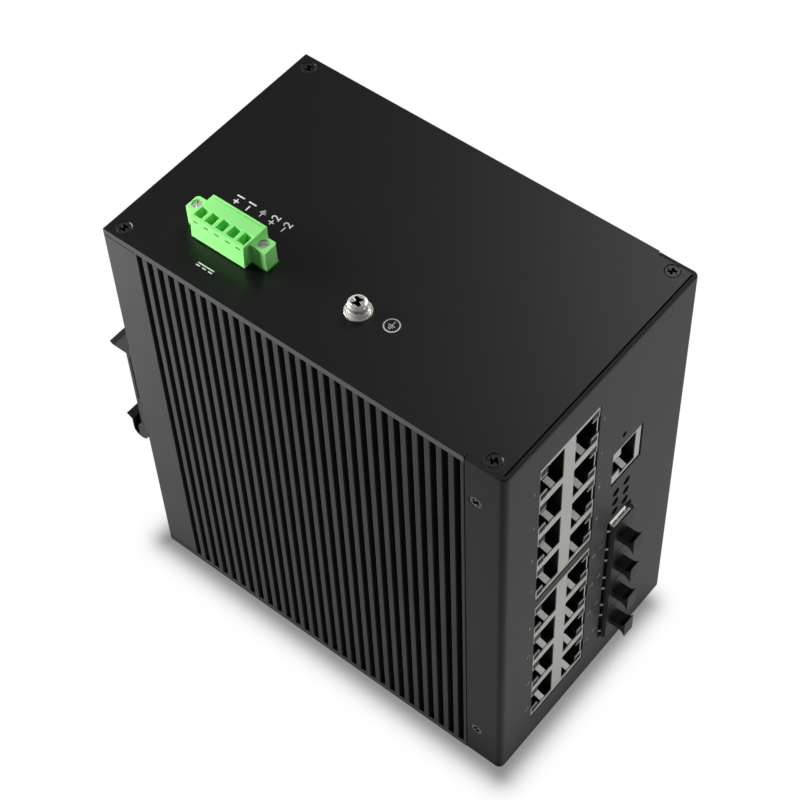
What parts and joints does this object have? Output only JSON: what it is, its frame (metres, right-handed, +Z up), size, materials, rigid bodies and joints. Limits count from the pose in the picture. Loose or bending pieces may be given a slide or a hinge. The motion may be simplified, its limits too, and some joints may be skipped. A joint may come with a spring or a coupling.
{
  "type": "din rail ethernet switch",
  "caption": "Managed industrial network switch in a finned metal housing with stacked modular jacks, a ganged optical-module cage, a plug-in power terminal and a rail clip on the back.",
  "frame": {"origin": "centre of the housing's underside, which is the face it stands on", "axes": "+X to the right as seen from the front, the front faces -Y, +Z up"},
  "size_m": [0.0776, 0.1423, 0.1486],
  "materials": {
    "cover_paint": "fine matt powder coat, near black",
    "panel_paint": "fine matt powder coat, dark grey",
    "fin_anodise": "bead-blasted and anodised, dark grey",
    "clip_anodise": "anodised extrusion, dark grey",
    "black_screw": "black zinc",
    "jack_metal": "tin plated sheet, satin",
    "jack_plastic": "moulded, dark",
    "contact_gold": "gold flash",
    "light_green": "clear tinted light pipe",
    "light_smoke": "dark tinted light pipe",
    "plug_rubber": "soft dust plug",
    "terminal_green": "moulded, bright green",
    "header_green": "moulded, green",
    "nickel": "nickel plated",
    "spring_steel": "spring steel",
    "board_green": "solder mask",
    "chip_black": "moulded package",
    "holder_black": "moulded holder",
    "pad_grey": "soft gap pad",
    "bare_aluminium": "machined",
    "capacitor_can": "sleeved can",
    "ferrite": "ferrite core",
    "button_white": "moulded plunger"
  },
  "bodies": {
    "housing": {"board_link_connectors": "holder_black", "bottom_cover": "cover_paint", "bottom_cover_screws": "black_screw", "console_jack_contacts": "contact_gold", "console_jack_housing": "jack_plastic", "console_jack_shield": "jack_metal", "din_clip_screws": "black_screw", "din_clip_spring": "spring_steel", "din_rail_clip": "clip_anodise", "filter_capacitors": "capacitor_can", "front_panel": "panel_paint", "front_panel_screws": "black_screw", "ground_flat_washer": "nickel", "ground_nut": "nickel", "ground_screw": "nickel", "ground_spring_washer": "nickel", "jack_contacts_lower": "contact_gold", "jack_contacts_upper": "contact_gold", "jack_housing_lower": "jack_plastic", "jack_housing_upper": "jack_plastic", "jack_light_pipes_lower": "light_green", "jack_light_pipes_upper": "light_green", "jack_shield_lower": "jack_metal", "jack_shield_upper": "jack_metal", "left_side_heatsink": "fin_anodise", "magnetics_modules": "chip_black", "main_board": "board_green", "main_board_screws": "nickel", "main_board_spacers": "nickel", "port_chip_pads": "pad_grey", "port_chips": "chip_black", "power_header_pins": "nickel", "power_inductors": "ferrite", "power_plug_clamp_screws": "nickel", "power_plug_flange_screws": "nickel", "power_plug_wire_clamps": "nickel", "power_terminal_header": "header_green", "power_terminal_plug": "terminal_green", "power_transformer": "ferrite", "rear_panel": "cover_paint", "rear_panel_screws": "black_screw", "reset_switch_body": "holder_black", "right_side_heatsink": "fin_anodise", "sfp_cage": "jack_metal", "sfp_dust_plug_1": "plug_rubber", "sfp_dust_plug_2": "plug_rubber", "sfp_dust_plug_3": "plug_rubber", "sfp_dust_plug_4": "plug_rubber", "sfp_host_connectors": "jack_plastic", "status_light_holder": "holder_black", "status_light_pipes": "light_smoke", "switch_chip": "chip_black", "switch_chip_pad": "pad_grey", "switch_heat_spreader": "bare_aluminium", "top_cover": "cover_paint", "top_cover_screws": "black_screw", "uplink_board": "board_green", "uplink_board_screws": "nickel", "uplink_board_spacers": "nickel"},
    "reset_plunger": {"reset_button": "button_white"}
  },
  "joints": [
    {"name": "reset_press", "type": "slide", "parent": "housing", "child": "reset_plunger", "axis": [0, 1, 0], "range_m": [0, 0.00025], "stiffness_N_per_m": 2000}
  ]
}
